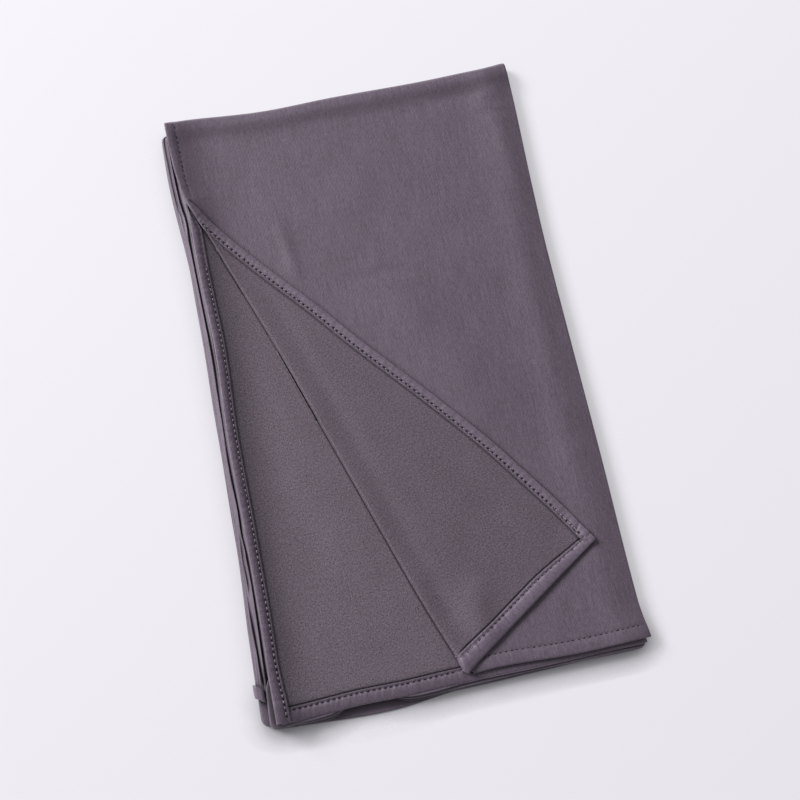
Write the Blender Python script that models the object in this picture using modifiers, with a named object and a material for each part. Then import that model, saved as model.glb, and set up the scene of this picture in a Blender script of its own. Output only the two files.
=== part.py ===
"""A plain jersey hijab, hemmed all round and folded flat into a pack, one corner turned back.

The cloth is folded in half along its length, in three across its width and in half once
more, so twelve layers lie on each other.  The two top layers end together in the hemmed
ends of the cloth; the near corner of the topmost one is turned back over the pack.

Every table is in millimetres: u runs across the pack from its left edge, v runs along it
from its hemmed end to its folded end, and z is the height above the surface it lies on.
"""

import math
from collections import namedtuple

import bpy
from mathutils import Vector

MM = 0.001

# ---------------------------------------------------------------- driving sizes, mm
PACK_WIDTH = 267.0        # a third of the 800 mm width of the cloth
PACK_LENGTH = 454.0       # a quarter of the 1800 mm length of the cloth, and its slack
CENTRE_U = 128.25         # middle of the whole outline, from the left edge
CENTRE_V = 226.45         # middle of the whole outline, from the hemmed end

CLOTH = 1.0               # wall of one layer of jersey
SEAM = 0.3                # gap between two pieces that touch on the real cloth
STACK_HEIGHT = 7.5        # the ten hidden layers, pressed together
SIDE_HEM = 8.0            # width of the narrow hem on the long sides
END_HEM = 12.5            # width of the hem on the two ends
CORNER_RADIUS = 5.0       # rounding of the hidden layers' corners, seen from above
GROOVE = 1.3              # depth of the groove between two hidden leaves
TURNED_LENGTH = 395.0     # the hemmed side of the turned corner
HIDDEN_SHARE = 0.05       # of that side, where its hem passes into the corner's narrow start
UNDER_HEM_TOP = 343.0     # the turned corner hides the second layer's side hem beyond this v
UNDER_HEM_MIDDLE = 60.0   # the second layer's end hem is straight, through its edge at this u

UNDER_TOP = STACK_HEIGHT + SEAM + CLOTH          # upper face of the second layer
PANEL_TOP = UNDER_TOP + SEAM + CLOTH             # upper face of the topmost layer
TURNED_TOP = PANEL_TOP + SEAM + CLOTH            # upper face of the turned corner

FOLD_RADIUS = 0.5 * PANEL_TOP - 0.15             # the end fold wraps round the whole pack
FOLD_AXIS_Z = PANEL_TOP - FOLD_RADIUS
SIDE_RADIUS = 2.1                                # the side fold wraps round four layers
ROLL_RADIUS = 0.5 * (TURNED_TOP - UNDER_TOP - SEAM)
ROLL_LEG = 1.0                                   # the roll starts this far right of its crease
WRAP_END = math.radians(-58.0)                   # where the topmost layer tucks under

# ---------------------------------------------------------------- outline tables, mm
Along = namedtuple("Along", "at edge")           # at: u or v along a side; edge: where it is
Point = namedtuple("Point", "u v")
Leaf = namedtuple("Leaf", "low high left end right")

END_FOLD = [Along(0, 457.0), Along(70, 454.2), Along(130, 456.0), Along(200, 455.4),
            Along(267, 458.4)]
SIDE_FOLD = [Along(0, 268.6), Along(28, 265.6), Along(140, 266.2), Along(298, 266.0),
             Along(357, 266.8), Along(433, 269.4), Along(458, 268.6)]
PANEL_SIDE = [Along(380, 6.4), Along(390, 3.4), Along(400, 1.6), Along(421, -0.2),
              Along(458, -0.4)]
PANEL_END = [Along(130, 3.6), Along(160, 4.8), Along(214, 2.4), Along(267, 3.4)]
CREASE = [Along(3, 135.2), Along(19, 128.5), Along(62, 113.1), Along(206, 67.0),
          Along(267, 47.3), Along(320, 28.6), Along(358, 15.2), Along(384, 5.6)]
UNDER_SIDE = [Along(-3, 0.4), Along(28, 0.6), Along(63, 1.9), Along(138, 2.8), Along(203, 3.0),
              Along(268, 5.2), Along(331, 4.2), Along(400, 5.0), Along(454, 3.0)]
UNDER_END = [Along(0, -2.8), Along(60, -2.6), Along(127, -2.7), Along(189, -1.8),
             Along(240, 0.4), Along(267, -1.4)]
THIRD_SIDE = [Along(-6, -3.0), Along(12, -3.9), Along(29, -2.8), Along(54, -1.9),
              Along(98, 1.2), Along(140, 4.0), Along(454, 6.0)]
LOW_SIDE = [Along(-6, -10.4), Along(15, -10.2), Along(30, -8.6), Along(120, -3.4), Along(454, 1.0)]
BUNDLE_SIDE = [Along(16, -11.6), Along(31, -10.3), Along(68, -8.0), Along(124, -5.1),
               Along(195, -4.3), Along(271, -3.7), Along(334, -2.0), Along(400, -5.6),
               Along(444, -6.1)]
BUNDLE_SECOND = [Along(16, -8.0), Along(68, -4.6), Along(150, -1.6), Along(300, 1.6),
                 Along(348, 4.2), Along(398, 1.0), Along(444, -0.6)]
TURNED_EDGE = [Point(10.5, 381.0), Point(22.0, 363.0), Point(49.1, 328.5), Point(83.3, 288.7),
               Point(110.7, 254.6), Point(155.3, 202.2), Point(187.6, 162.3),
               Point(208.2, 133.4), Point(228.7, 103.9), Point(245.1, 77.2)]

BUNDLE_RIGHT = 11.0       # the bundle of side folds ends here inside the pack
BUNDLE_LOW = 3.3
BUNDLE_HIGH = 5.7
BUNDLE_START = 16.0
BUNDLE_END = 443.0
BUNDLE_PINCH = (2.2, 0.6)          # its first and last sections close in
BUNDLE_ROUND = 1.2                 # radius of the hem that ends it, inside the cloth
BUNDLE_HEM_SHARE = 0.8             # of an end hem's width: that one is folded askew
BUNDLE_HEM_OVERHANG = 2.4
BUNDLE_HEM_LEAN = 0.7
BUNDLE_HEM_TUCK = 2.0              # its upper side passes this far under the third layer

FACE_COLOUR = (0.17, 0.14, 0.18)
BACK_COLOUR = (0.15, 0.14, 0.16)
HEM_COLOUR = (0.24, 0.21, 0.26)
HIDDEN_COLOUR = (0.13, 0.11, 0.14)
BUNDLE_COLOUR = (0.19, 0.16, 0.20)

# The hidden layers lie in five leaves of two, from the floor up.
LEAVES = [
    Leaf(0.0, 1.5, LOW_SIDE, -4.6, -1.2),
    Leaf(1.5, 3.0, LOW_SIDE, -5.4, -0.6),
    Leaf(3.0, 4.5, None, -3.6, -1.8),
    Leaf(4.5, 6.0, None, -5.2, -0.8),
    Leaf(6.0, 7.5, THIRD_SIDE, -5.6, -4.4),
]


# ---------------------------------------------------------------- curves
def smooth(table, at):
    """Read a table of Along rows as a smooth curve, level past its two ends."""
    if at <= table[0].at:
        return table[0].edge
    if at >= table[-1].at:
        return table[-1].edge
    k = max(i for i, row in enumerate(table) if row.at <= at)
    slopes = []
    for i in (k, k + 1):
        before = table[max(i - 1, 0)]
        after = table[min(i + 1, len(table) - 1)]
        slopes.append((after.edge - before.edge) / (after.at - before.at))
    span = table[k + 1].at - table[k].at
    x = (at - table[k].at) / span
    start = (1 + 2 * x) * (1 - x) ** 2 * table[k].edge
    finish = x * x * (3 - 2 * x) * table[k + 1].edge
    bend = span * (x * (1 - x) ** 2 * slopes[0] + x * x * (x - 1) * slopes[1])
    return start + finish + bend


def walk(points, share):
    """The point a given share of the way along a smooth line through points."""
    steps = [0.0]
    for here, there in zip(points, points[1:]):
        steps.append(steps[-1] + math.hypot(there.u - here.u, there.v - here.v))
    at = share * steps[-1]
    across = smooth([Along(s, p.u) for s, p in zip(steps, points)], at)
    along = smooth([Along(s, p.v) for s, p in zip(steps, points)], at)
    return Point(across, along)


def lie(u, v):
    """How far the layers swell above their pressed height; every layer shares it."""
    across = math.sin(math.pi * min(max(u / PACK_WIDTH, 0.0), 1.0))
    along = math.sin(math.pi * min(max(v / PACK_LENGTH, 0.0), 1.0))
    return 0.7 * across * along + 0.25 * math.sin(u / 62.0) * math.sin(v / 71.0)


def end_axis(u):
    """Where the end fold's axis lies, seen from above."""
    return smooth(END_FOLD, u) - FOLD_RADIUS


def side_axis(v):
    """Where the side fold's axis lies, seen from above."""
    return smooth(SIDE_FOLD, v) - SIDE_RADIUS


def flat_point(across, along, left, right, end_table):
    """A point of a layer between two sides, its hemmed end and the end fold's axis."""
    v = along * PACK_LENGTH
    for _ in range(4):
        u = left(v) + across * (right(v) - left(v))
        low = smooth(end_table, u)
        v = low + along * (end_axis(u) - low)
    return u, v


# ---------------------------------------------------------------- objects
def new_material(name, colour):
    """Matt dyed jersey."""
    material = bpy.data.materials.new(name)
    material.use_nodes = True
    shader = material.node_tree.nodes["Principled BSDF"]
    shader.inputs["Base Color"].default_value = (*colour, 1.0)
    shader.inputs["Roughness"].default_value = 0.85
    shader.inputs["Metallic"].default_value = 0.0
    material.diffuse_color = (*colour, 1.0)
    return material


def new_piece(name, points, faces, colour, collection):
    """One named object, its points in millimetres from the pack's lower left corner."""
    mesh = bpy.data.meshes.new(name)
    mesh.from_pydata([Vector(p) * MM for p in points], [], faces)
    mesh.materials.append(new_material(name, colour))
    mesh.shade_smooth()
    mesh.set_sharp_from_angle(angle=math.radians(40))
    piece = bpy.data.objects.new(name, mesh)
    piece.location = (-CENTRE_U * MM, -CENTRE_V * MM, 0.0)
    collection.objects.link(piece)
    return piece


def grid_faces(rows, columns):
    """Quads of a grid whose points run along its rows, facing up for u then v."""
    faces = []
    for j in range(rows - 1):
        for i in range(columns - 1):
            corner = j * columns + i
            faces.append((corner, corner + 1, corner + columns + 1, corner + columns))
    return faces


def cloth_sheet(name, rows, colour, collection):
    """A sheet of cloth: its outer face as a grid, given its wall by Solidify."""
    points = [point for row in rows for point in row]
    faces = grid_faces(len(rows), len(rows[0]))
    sheet = new_piece(name, points, faces, colour, collection)
    wall = sheet.modifiers.new("wall", "SOLIDIFY")
    wall.thickness = CLOTH * MM
    wall.offset = -1.0
    wall.use_even_offset = True
    return sheet


def closed_loft(name, rings, colour, collection):
    """A closed solid through rings of equal length, the two end rings filled."""
    points = [point for ring in rings for point in ring]
    count = len(rings[0])
    faces = [tuple(reversed(range(count)))]
    for j in range(len(rings) - 1):
        for i in range(count):
            low = j * count + i
            low_next = j * count + (i + 1) % count
            faces.append((low, low_next, low_next + count, low + count))
    last = (len(rings) - 1) * count
    faces.append(tuple(range(last, last + count)))
    return new_piece(name, points, faces, colour, collection)


# ---------------------------------------------------------------- hidden layers
def round_rectangle(side_steps, end_steps, arc_steps):
    """Share across and share along of points round the pack's rounded outline."""
    radius = CORNER_RADIUS
    corners = [(PACK_WIDTH - radius, radius, -90, side_steps),
               (PACK_WIDTH - radius, PACK_LENGTH - radius, 0, end_steps),
               (radius, PACK_LENGTH - radius, 90, side_steps),
               (radius, radius, 180, end_steps)]
    ring = []
    for index, (u, v, start, steps) in enumerate(corners):
        for k in range(arc_steps + 1):
            angle = math.radians(start + 90 * k / arc_steps)
            ring.append((u + radius * math.cos(angle), v + radius * math.sin(angle)))
        here = ring[-1]
        next_u, next_v, turn, _ = corners[(index + 1) % 4]
        there = (next_u + radius * math.cos(math.radians(turn)),
                 next_v + radius * math.sin(math.radians(turn)))
        for k in range(1, steps):
            share = k / steps
            ring.append((here[0] + share * (there[0] - here[0]),
                         here[1] + share * (there[1] - here[1])))
    return [(u / PACK_WIDTH, v / PACK_LENGTH) for u, v in ring]


def leaf_ring(outline, leaf, z, inset):
    """The outline of one leaf of hidden layers at a height."""
    ring = []
    inside = FOLD_RADIUS - CLOTH - SEAM
    rise = min(abs(z - FOLD_AXIS_Z), inside)
    tuck = math.sqrt(inside ** 2 - rise ** 2)
    if z < FOLD_AXIS_Z:
        tuck = min(tuck, 1.0 + 0.5 * z)
    for across, along in outline:
        v = along * PACK_LENGTH
        left = BUNDLE_RIGHT + SEAM if leaf.left is None else smooth(leaf.left, v) + inset
        right = smooth(SIDE_FOLD, v) + leaf.right - inset
        u = left + across * (right - left)
        low = leaf.end + inset
        high = end_axis(u) + tuck
        v = low + along * (high - low)
        ring.append((u, v, z))
    return ring


def make_folded_stack(collection):
    """The ten hidden layers as one rounded solid, layered at its edges."""
    outline = round_rectangle(side_steps=18, end_steps=12, arc_steps=3)
    bulge = [(0.08, GROOVE), (0.35, 0.15), (0.65, 0.15), (0.92, GROOVE)]
    rings = [leaf_ring(outline, LEAVES[0], 0.0, 0.6)]
    for leaf in LEAVES:
        for share, inset in bulge:
            z = leaf.low + share * (leaf.high - leaf.low)
            if z > 0.2:
                rings.append(leaf_ring(outline, leaf, z, inset))
    # rings that shrink to the middle let the top follow the swell of the cloth
    rim = leaf_ring(outline, LEAVES[-1], STACK_HEIGHT, GROOVE)
    middle = Point(0.5 * PACK_WIDTH, 0.5 * PACK_LENGTH)
    for share in (0.97, 0.85, 0.65, 0.4, 0.15):
        ring = []
        for u, v, z in rim:
            across = middle.u + share * (u - middle.u)
            along = middle.v + share * (v - middle.v)
            ring.append((across, along, STACK_HEIGHT + lie(across, along)))
        rings.append(ring)
    return closed_loft("folded_stack", rings, HIDDEN_COLOUR, collection)


# ---------------------------------------------------------------- side bundle
def bundle_section(v):
    """A section of the bundle of side folds: two soft ridges on its left."""
    low_edge = smooth(BUNDLE_SIDE, v)
    high_edge = smooth(BUNDLE_SECOND, v)
    middle = 0.5 * (BUNDLE_LOW + BUNDLE_HIGH)
    lower = [(0.0, 1.6), (0.25, 0.35), (0.55, 0.0), (0.85, 0.5)]
    upper = [(0.1, 0.7), (0.35, 0.0), (0.7, 0.2), (1.0, 1.4)]
    section = [(low_edge + inset, BUNDLE_LOW + share * (middle - BUNDLE_LOW))
               for share, inset in lower]
    section += [(high_edge + inset, middle + share * (BUNDLE_HIGH - middle))
                for share, inset in upper]
    return section


def make_side_bundle(collection):
    """The folds of the middle layers that stand out along the left side."""
    rings = []
    steps = 34
    for k in range(steps + 1):
        v = BUNDLE_START + (BUNDLE_END - BUNDLE_START) * k / steps
        ends = min(k, steps - k)
        pinch = BUNDLE_PINCH[ends] if ends < len(BUNDLE_PINCH) else 0.0
        left = [(u + pinch, v, z) for u, z in bundle_section(v)]
        ring = [(BUNDLE_RIGHT, v, BUNDLE_LOW)] + left + [(BUNDLE_RIGHT, v, BUNDLE_HIGH)]
        rings.append(ring)
    return closed_loft("side_bundle", rings, BUNDLE_COLOUR, collection)


def make_bundle_hem(collection):
    """The end hem of the bundle, a band that stands proud where the folds end."""
    proud = SEAM + CLOTH
    middle = smooth(BUNDLE_SIDE, BUNDLE_START) + BUNDLE_ROUND
    middle_z = 0.5 * (BUNDLE_LOW + BUNDLE_HIGH)
    width = BUNDLE_ROUND + proud
    height = 0.5 * (BUNDLE_HIGH - BUNDLE_LOW) + proud
    section = [(THIRD_SIDE[0].edge - BUNDLE_HEM_TUCK, middle_z + height)]
    for degrees in range(90, 216, 18):
        angle = math.radians(degrees)
        section.append((middle + width * math.cos(angle), middle_z + height * math.sin(angle)))
    rows = []
    for k in range(5):
        start = BUNDLE_START - BUNDLE_HEM_OVERHANG + BUNDLE_HEM_SHARE * END_HEM * (1 - k / 4)
        rows.append([(u, start - BUNDLE_HEM_LEAN * (u - middle), z) for u, z in section])
    return cloth_sheet("bundle_hem", rows, HEM_COLOUR, collection)


# ---------------------------------------------------------------- second layer
def under_point(across, along):
    """A point of the second layer's upper face."""
    u, v = flat_point(across, along, lambda at: smooth(UNDER_SIDE, at),
                      lambda at: side_axis(at) - SEAM, UNDER_END)
    return (u, v, UNDER_TOP + lie(u, v))


def make_under_panel(collection):
    """The second layer, wrong side up, seen where the corner is turned away."""
    rows = [[under_point(i / 14, j / 22) for i in range(15)] for j in range(23)]
    return cloth_sheet("under_panel", rows, BACK_COLOUR, collection)


def make_under_side_hem(collection):
    """The folded edge sewn down along the second layer's long side."""
    rows = []
    first = smooth(UNDER_END, 0.0)
    for j in range(27):
        v = first + (UNDER_HEM_TOP - first) * j / 26
        left = smooth(UNDER_SIDE, v)
        width = min(SIDE_HEM, smooth(CREASE, v) - ROLL_RADIUS - SEAM - left)
        row = []
        for share in (0.0, 0.5, 1.0):
            u = left + share * width
            row.append((u, v, UNDER_TOP + SEAM + CLOTH + lie(u, v)))
        rows.append(row)
    return cloth_sheet("under_side_hem", rows, HEM_COLOUR, collection)


def make_under_end_hem(collection):
    """The folded edge sewn down along the second layer's end, up to the turned corner."""
    rows = []
    first = smooth(UNDER_SIDE, 0.0) + SIDE_HEM + SEAM
    for j in range(3):
        row = []
        for i in range(15):
            v = smooth(UNDER_END, UNDER_HEM_MIDDLE) + END_HEM * j / 2
            last = smooth(CREASE, v) - ROLL_RADIUS - SEAM
            u = first + (last - first) * i / 14
            row.append((u, v, UNDER_TOP + SEAM + CLOTH + lie(u, v)))
        rows.append(row)
    return cloth_sheet("under_end_hem", rows, HEM_COLOUR, collection)


# ---------------------------------------------------------------- topmost layer
def side_wrap(steps):
    """The section of the side fold: how far it reaches right of its axis, and its depth."""
    section = []
    for k in range(1, steps + 1):
        angle = math.radians(90) + (WRAP_END - math.radians(90)) * k / steps
        section.append((SIDE_RADIUS * math.cos(angle), SIDE_RADIUS * (math.sin(angle) - 1)))
    return section


def panel_left(v):
    """The topmost layer's left side: its own hem, and below that the crease."""
    if v > CREASE[-1].at:
        return smooth(PANEL_SIDE, v)
    return smooth(CREASE, v) + 1.1 * (ROLL_LEG + SEAM)


def make_top_panel(collection):
    """The topmost layer, right side up, wrapped round the side fold and the end fold."""
    rows = []
    flat_rows = 24
    columns = 15
    wrap = side_wrap(6)
    for j in range(flat_rows + 1):
        along = j / flat_rows
        row = []
        for k in range(columns):
            u, v = flat_point(k / (columns - 1), along, panel_left, side_axis, PANEL_END)
            row.append((u, v, PANEL_TOP + lie(u, v)))
        axis, v, top = row[-1]
        row += [(axis + reach, v, top + depth) for reach, depth in wrap]
        rows.append(row)
    edge = rows[-1]
    turns = 8
    for k in range(1, turns + 1):
        angle = math.radians(90) + (WRAP_END - math.radians(90)) * k / turns
        row = []
        for u, v, z in edge:
            reach = FOLD_RADIUS + z - PANEL_TOP
            row.append((u, v + reach * math.cos(angle), FOLD_AXIS_Z + reach * math.sin(angle)))
        rows.append(row)
    return cloth_sheet("top_panel", rows, FACE_COLOUR, collection)


# ---------------------------------------------------------------- turned corner
def crease_point(along):
    """The point a share of the way down the crease, from the side hem to the end hem."""
    v = CREASE[-1].at + along * (CREASE[0].at - CREASE[-1].at)
    return Point(smooth(CREASE, v), v)


def turned_point(along, across, raise_by):
    """A point of the turned corner's upper face, from the crease to its hemmed side."""
    here = crease_point(along)
    there = walk(TURNED_EDGE, along)
    u = here.u + across * (there.u - here.u)
    v = here.v + across * (there.v - here.v)
    return (u, v, TURNED_TOP + lie(u, v) + raise_by)


def make_turned_corner(collection):
    """The near corner turned back over the pack, with the roll of its crease."""
    rows = []
    for j in range(27):
        along = j / 26
        here = crease_point(along)
        near = crease_point(max(along - 0.01, 0.0))
        far = crease_point(min(along + 0.01, 1.0))
        length = math.hypot(far.u - near.u, far.v - near.v)
        outward = ((far.v - near.v) / length, -(far.u - near.u) / length)
        height = TURNED_TOP + lie(here.u, here.v)
        row = [(here.u - ROLL_LEG * outward[0], here.v - ROLL_LEG * outward[1],
                height - 2 * ROLL_RADIUS)]
        for k in range(6):
            angle = math.radians(-90 - 180 * k / 6)
            reach = -ROLL_RADIUS * math.cos(angle)
            row.append((here.u + reach * outward[0], here.v + reach * outward[1],
                        height - ROLL_RADIUS + ROLL_RADIUS * math.sin(angle)))
        for k in range(11):
            row.append(turned_point(along, k / 10, 0.0))
        rows.append(row)
    rows.reverse()
    return cloth_sheet("turned_corner", rows, BACK_COLOUR, collection)


def make_turned_side_hem(collection):
    """The hem of the cloth's long side, seen from its wrong side on the turned corner."""
    rows = []
    last = 1.0 - (END_HEM + SEAM) / TURNED_LENGTH
    for j in range(31):
        along = HIDDEN_SHARE + (last - HIDDEN_SHARE) * j / 30
        edge = walk(TURNED_EDGE, along)
        here = crease_point(along)
        gap = math.hypot(edge.u - here.u, edge.v - here.v)
        row = []
        for k in range(3):
            across = 1.0 - min(0.5 * k * SIDE_HEM, gap - 1.0) / gap
            row.append(turned_point(along, across, SEAM + CLOTH))
        rows.append(row)
    return cloth_sheet("turned_side_hem", rows, HEM_COLOUR, collection)


def make_turned_end_hem(collection):
    """The hem of the cloth's end, seen from its wrong side on the turned corner."""
    rows = []
    for j in range(3):
        along = 1.0 - END_HEM / TURNED_LENGTH * (1 - j / 2)
        rows.append([turned_point(along, 1 - k / 14, SEAM + CLOTH) for k in range(15)])
    return cloth_sheet("turned_end_hem", rows, HEM_COLOUR, collection)


# ---------------------------------------------------------------- the whole hijab
def main():
    for old in list(bpy.data.objects):
        bpy.data.objects.remove(old, do_unlink=True)
    collection = bpy.data.collections.new("folded_hijab")
    bpy.context.scene.collection.children.link(collection)
    make_folded_stack(collection)
    make_side_bundle(collection)
    make_bundle_hem(collection)
    make_under_panel(collection)
    make_under_side_hem(collection)
    make_under_end_hem(collection)
    make_top_panel(collection)
    make_turned_corner(collection)
    make_turned_side_hem(collection)
    make_turned_end_hem(collection)


main()
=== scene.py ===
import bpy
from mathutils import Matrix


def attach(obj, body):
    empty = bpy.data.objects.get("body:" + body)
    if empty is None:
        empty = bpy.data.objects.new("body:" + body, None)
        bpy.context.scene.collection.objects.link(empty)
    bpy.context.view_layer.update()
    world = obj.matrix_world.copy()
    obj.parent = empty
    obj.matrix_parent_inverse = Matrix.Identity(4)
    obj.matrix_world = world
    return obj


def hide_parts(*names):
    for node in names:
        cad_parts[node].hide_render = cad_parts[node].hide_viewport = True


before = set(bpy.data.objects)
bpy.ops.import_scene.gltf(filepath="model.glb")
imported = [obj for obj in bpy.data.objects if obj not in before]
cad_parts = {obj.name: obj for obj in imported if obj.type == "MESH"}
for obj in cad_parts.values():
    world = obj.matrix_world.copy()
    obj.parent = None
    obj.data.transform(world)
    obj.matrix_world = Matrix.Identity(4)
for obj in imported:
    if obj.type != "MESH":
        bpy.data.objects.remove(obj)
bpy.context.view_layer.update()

# The looks of a plain jersey hijab, hemmed all round and folded flat into a pack, with one
# corner turned back.  Tables are in millimetres, as in the part's source: u runs across the
# pack from its left edge, v along it from its hemmed end to its folded end, z up.

import math
import random
from collections import namedtuple

import bpy
import numpy as np
from mathutils import Euler, Matrix, Vector

MM = 0.001

# ---- driving sizes, mm
PACK_WIDTH = 267.0
PACK_LENGTH = 454.0
CENTRE = np.array([128.25, 226.45, 0.0])    # middle of the outline, from the pack's corner

CLOTH = 1.0                # one layer and the air in it, as in the solids
PLY = 0.85                 # wall of one ply of the shown cloth
SEAM = 0.3
STACK_HEIGHT = 7.5
SIDE_HEM = 8.0
END_HEM = 11.8
HEM_ROUND = 0.95           # radius of a hem's folded edge, two plies thick

UNDER_TOP = STACK_HEIGHT + SEAM + CLOTH
PANEL_TOP = UNDER_TOP + SEAM + CLOTH
TURNED_TOP = PANEL_TOP + SEAM + CLOTH
FOLD_RADIUS = 0.5 * PANEL_TOP - 0.15
FOLD_AXIS_Z = PANEL_TOP - FOLD_RADIUS
SIDE_RADIUS = 2.1
WRAP_END = math.radians(-58.0)

# ---- outlines, mm
Along = namedtuple("Along", "at edge")
Point = namedtuple("Point", "u v")
Leaf = namedtuple("Leaf", "low high plies left end right phase")
Crease = namedtuple("Crease", "u0 v0 u1 v1 bend width height")
# The last two fields paint shade into the colour: ambient occlusion within the reach, in mm,
# darkens it to that power in clefts, grooves and under edges.
Look = namedtuple("Look", "streak short speckle wale rib sheen gloom reach")
HUE_DRIFT = (0.95, 1.05, 0.97)


def rows_of(kind, *rows):
    """A table whose rows have named columns."""
    return [kind(*row) for row in rows]


END_FOLD = rows_of(Along, (0, 456.0), (70, 451.3), (130, 453.5), (200, 454.8), (267, 458.6))
SIDE_FOLD = rows_of(Along, (0, 268.3), (28, 265.2), (140, 265.3), (298, 264.6), (357, 265.8),
    (433, 268.5), (458, 267.9))
PANEL_SIDE = rows_of(Along, (380, 6.4), (390, 3.4), (400, 1.4), (421, -0.6), (458, -1.3))
PANEL_END = rows_of(Along, (130, 3.2), (160, 4.1), (214, 1.8), (267, 2.6))
CREASE = rows_of(Along, (4.8, 135.4), (6.6, 132.5), (10, 130.4), (15, 129.4), (20, 128.0),
    (62, 113.1), (206, 67.0), (267, 47.3), (320, 28.6), (358, 15.2), (384, 5.6), (388, 4.2))
UNDER_SIDE = rows_of(Along, (-3, -0.6), (28, -0.4), (63, 0.9), (96, 1.5), (138, 1.9), (203, 2.1),
    (268, 4.9), (331, 3.7), (400, 4.5), (454, 3.0))
UNDER_END = rows_of(Along, (0, -2.8), (20, -2.6), (45, -1.6), (60, -1.2), (90, -1.7), (127, -1.0),
    (189, -1.0), (240, -0.6), (267, -1.2))
THIRD_SIDE = rows_of(Along, (-6, -3.0), (0, -4.7), (8, -4.6), (16, -4.2), (28, -3.4), (38, 1.0),
    (60, 4.0), (454, 7.0))
FOURTH_SIDE = rows_of(Along, (-6, 2.4), (40, 3.0), (60, 5.0), (454, 8.0))
LOW_SIDE = rows_of(Along, (-6, -10.4), (15, -10.2), (30, -8.6), (120, -3.4), (454, 1.0))
BUNDLE_SIDE = rows_of(Along, (16, -10.9), (30, -10.1), (50, -9.1), (64, -8.5), (96, -6.9),
    (130, -5.3), (180, -4.7), (220, -4.0), (260, -3.3), (300, -2.4), (330, -2.3), (350, -3.2),
    (370, -4.4), (410, -6.3), (444, -5.9))
OUTER_GROOVE = rows_of(Along, (30, -4.2), (64, -4.0), (92, -3.9))
MIDDLE_GROOVE = rows_of(Along, (92, -2.0), (112, -2.0), (140, -0.7), (250, 0.3), (340, -0.6),
    (370, -0.6), (390, -2.5), (430, -3.0))
INNER_GROOVE = rows_of(Along, (30, -1.2), (50, -0.6), (80, 0.4), (112, 0.9), (130, 0.3), (146, 0.8),
    (180, 0.5), (220, 1.5), (260, 3.0), (300, 2.5), (350, 2.0), (370, 2.4), (390, 0.4), (430, 0.0))
TURNED_EDGE = rows_of(Point, (4.8, 387.4), (10.5, 381.0), (22.0, 363.0), (49.1, 328.5),
    (83.3, 288.7), (110.7, 254.6), (155.3, 202.2), (187.6, 162.3), (208.2, 133.4), (228.7, 103.9),
    (245.1, 77.2))
EYE_FOOT = Point(16.0, -31.0)          # the place below the photograph's eye
EYE_HEIGHT = 930.0
BUNDLE_RIGHT = 11.0
BUNDLE_LOW = 3.3
BUNDLE_HIGH = 5.7
BUNDLE_START = 16.0
BUNDLE_END = 443.0

THIRD_END = rows_of(Along, (0, -4.9), (17, -4.4), (36, -3.4), (44, -0.5), (52, 5.0), (76, 5.0),
    (84, 1.0), (92, -2.2), (112, -2.8), (130, -1.8), (200, -1.4), (267, -1.2))
MIDDLE_END = rows_of(Along, (0, -4.6), (17, -5.0), (36, -4.6), (46, -1.5), (54, 3.5), (76, 3.5),
    (84, -1.5), (95, -4.2), (130, -3.9), (200, -3.3), (256, -3.1), (267, -2.6))
LOW_END = rows_of(Along, (-11, -1.6), (-5, -1.9), (-2, -4.6), (25, -6.8), (60, -8.2), (85, -8.2),
    (105, -6.9), (130, -4.8), (200, -3.7), (250, -3.3), (267, -2.6))
NEXT_END = rows_of(Along, (-11, -1.6), (-5, -1.9), (-2, -4.4), (25, -6.3), (38, -5.6), (47, -1.0),
    (54, 6.0), (76, 6.0), (84, -2.0), (94, -5.8), (130, -4.8), (200, -3.8), (250, -3.5),
    (267, -2.6))
LOW_RIGHT = rows_of(Along, (-8, -9.6), (10, -8.2), (40, -3.0), (120, -1.4), (454, -1.0))
MIDDLE_RIGHT = rows_of(Along, (-8, -4.8), (20, -2.6), (60, -1.6), (454, -1.6))
THIRD_RIGHT = rows_of(Along, (-8, -5.4), (454, -4.4))

# ---- soft creases, mm
Swell = namedtuple("Swell", "height at width")
HEM_RIDGE = Swell(10.0, 4.0, 14.5)       # hems and folds stacked on the left lift the cloth
SIDE_RIDGE = Swell(1.2, 20.0, 9.0)       # and those along the right side, less
SIDE_DROP = Swell(2.6, 0.0, 22.0)        # the cloth rounds down to the side fold
FOLD_RIDGE = Swell(2.8, 7.5, 6.5)        # the end fold stands up
END_DROP = Swell(1.2, 0.0, 18.0)         # the second layer sinks towards its hemmed end
END_LIFT = Swell(0.7, 0.0, 9.0)          # the topmost one's hem stands on it
CREASE_LOFT = 0.3                        # the turned corner's crease is pressed,
CREASE_LOFT_WIDTH = 7.0
TIP_LOFT = Swell(1.5, 0.0, 26.0)         # less so at its tip
END_LOFT = Swell(0.8, 0.0, 7.0)          # its hemmed end stands off the layer below
END_LINE = Point(130.0, 8.0)
END_LINE_TURN = Point(0.864, 0.503)
CREASE_LEAN = 1.053                      # across the pack for each millimetre off the crease
CREASE_DIP = Swell(0.55, 14.0, 5.0)      # and the cloth sinks beside it

HEM_PUFF = 0.5                           # a hem swells between its fold and its seam
SEAM_PULL = 0.35                         # its stitches pull it down
HOLE_DEPTH = 0.35
LIP_GAP = Swell(0.9, 0.0, 0.38)          # and a gap opens along its sewn edge
CREASE_GAP = Swell(0.5, -0.2, 0.4)       # the lower layer sinks along the corner's roll
STITCH_INSET = 1.9                       # a seam's distance from the hem's inner edge
STITCH_PITCH = 4.0
CORNER_WIDENS = 0.1                      # the turned end hem is wider at the crease
CORNER_NARROWS = 0.62                    # and narrows towards its corner
OVERLAP_RISE = 0.7                       # a side hem crosses over an end hem

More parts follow.
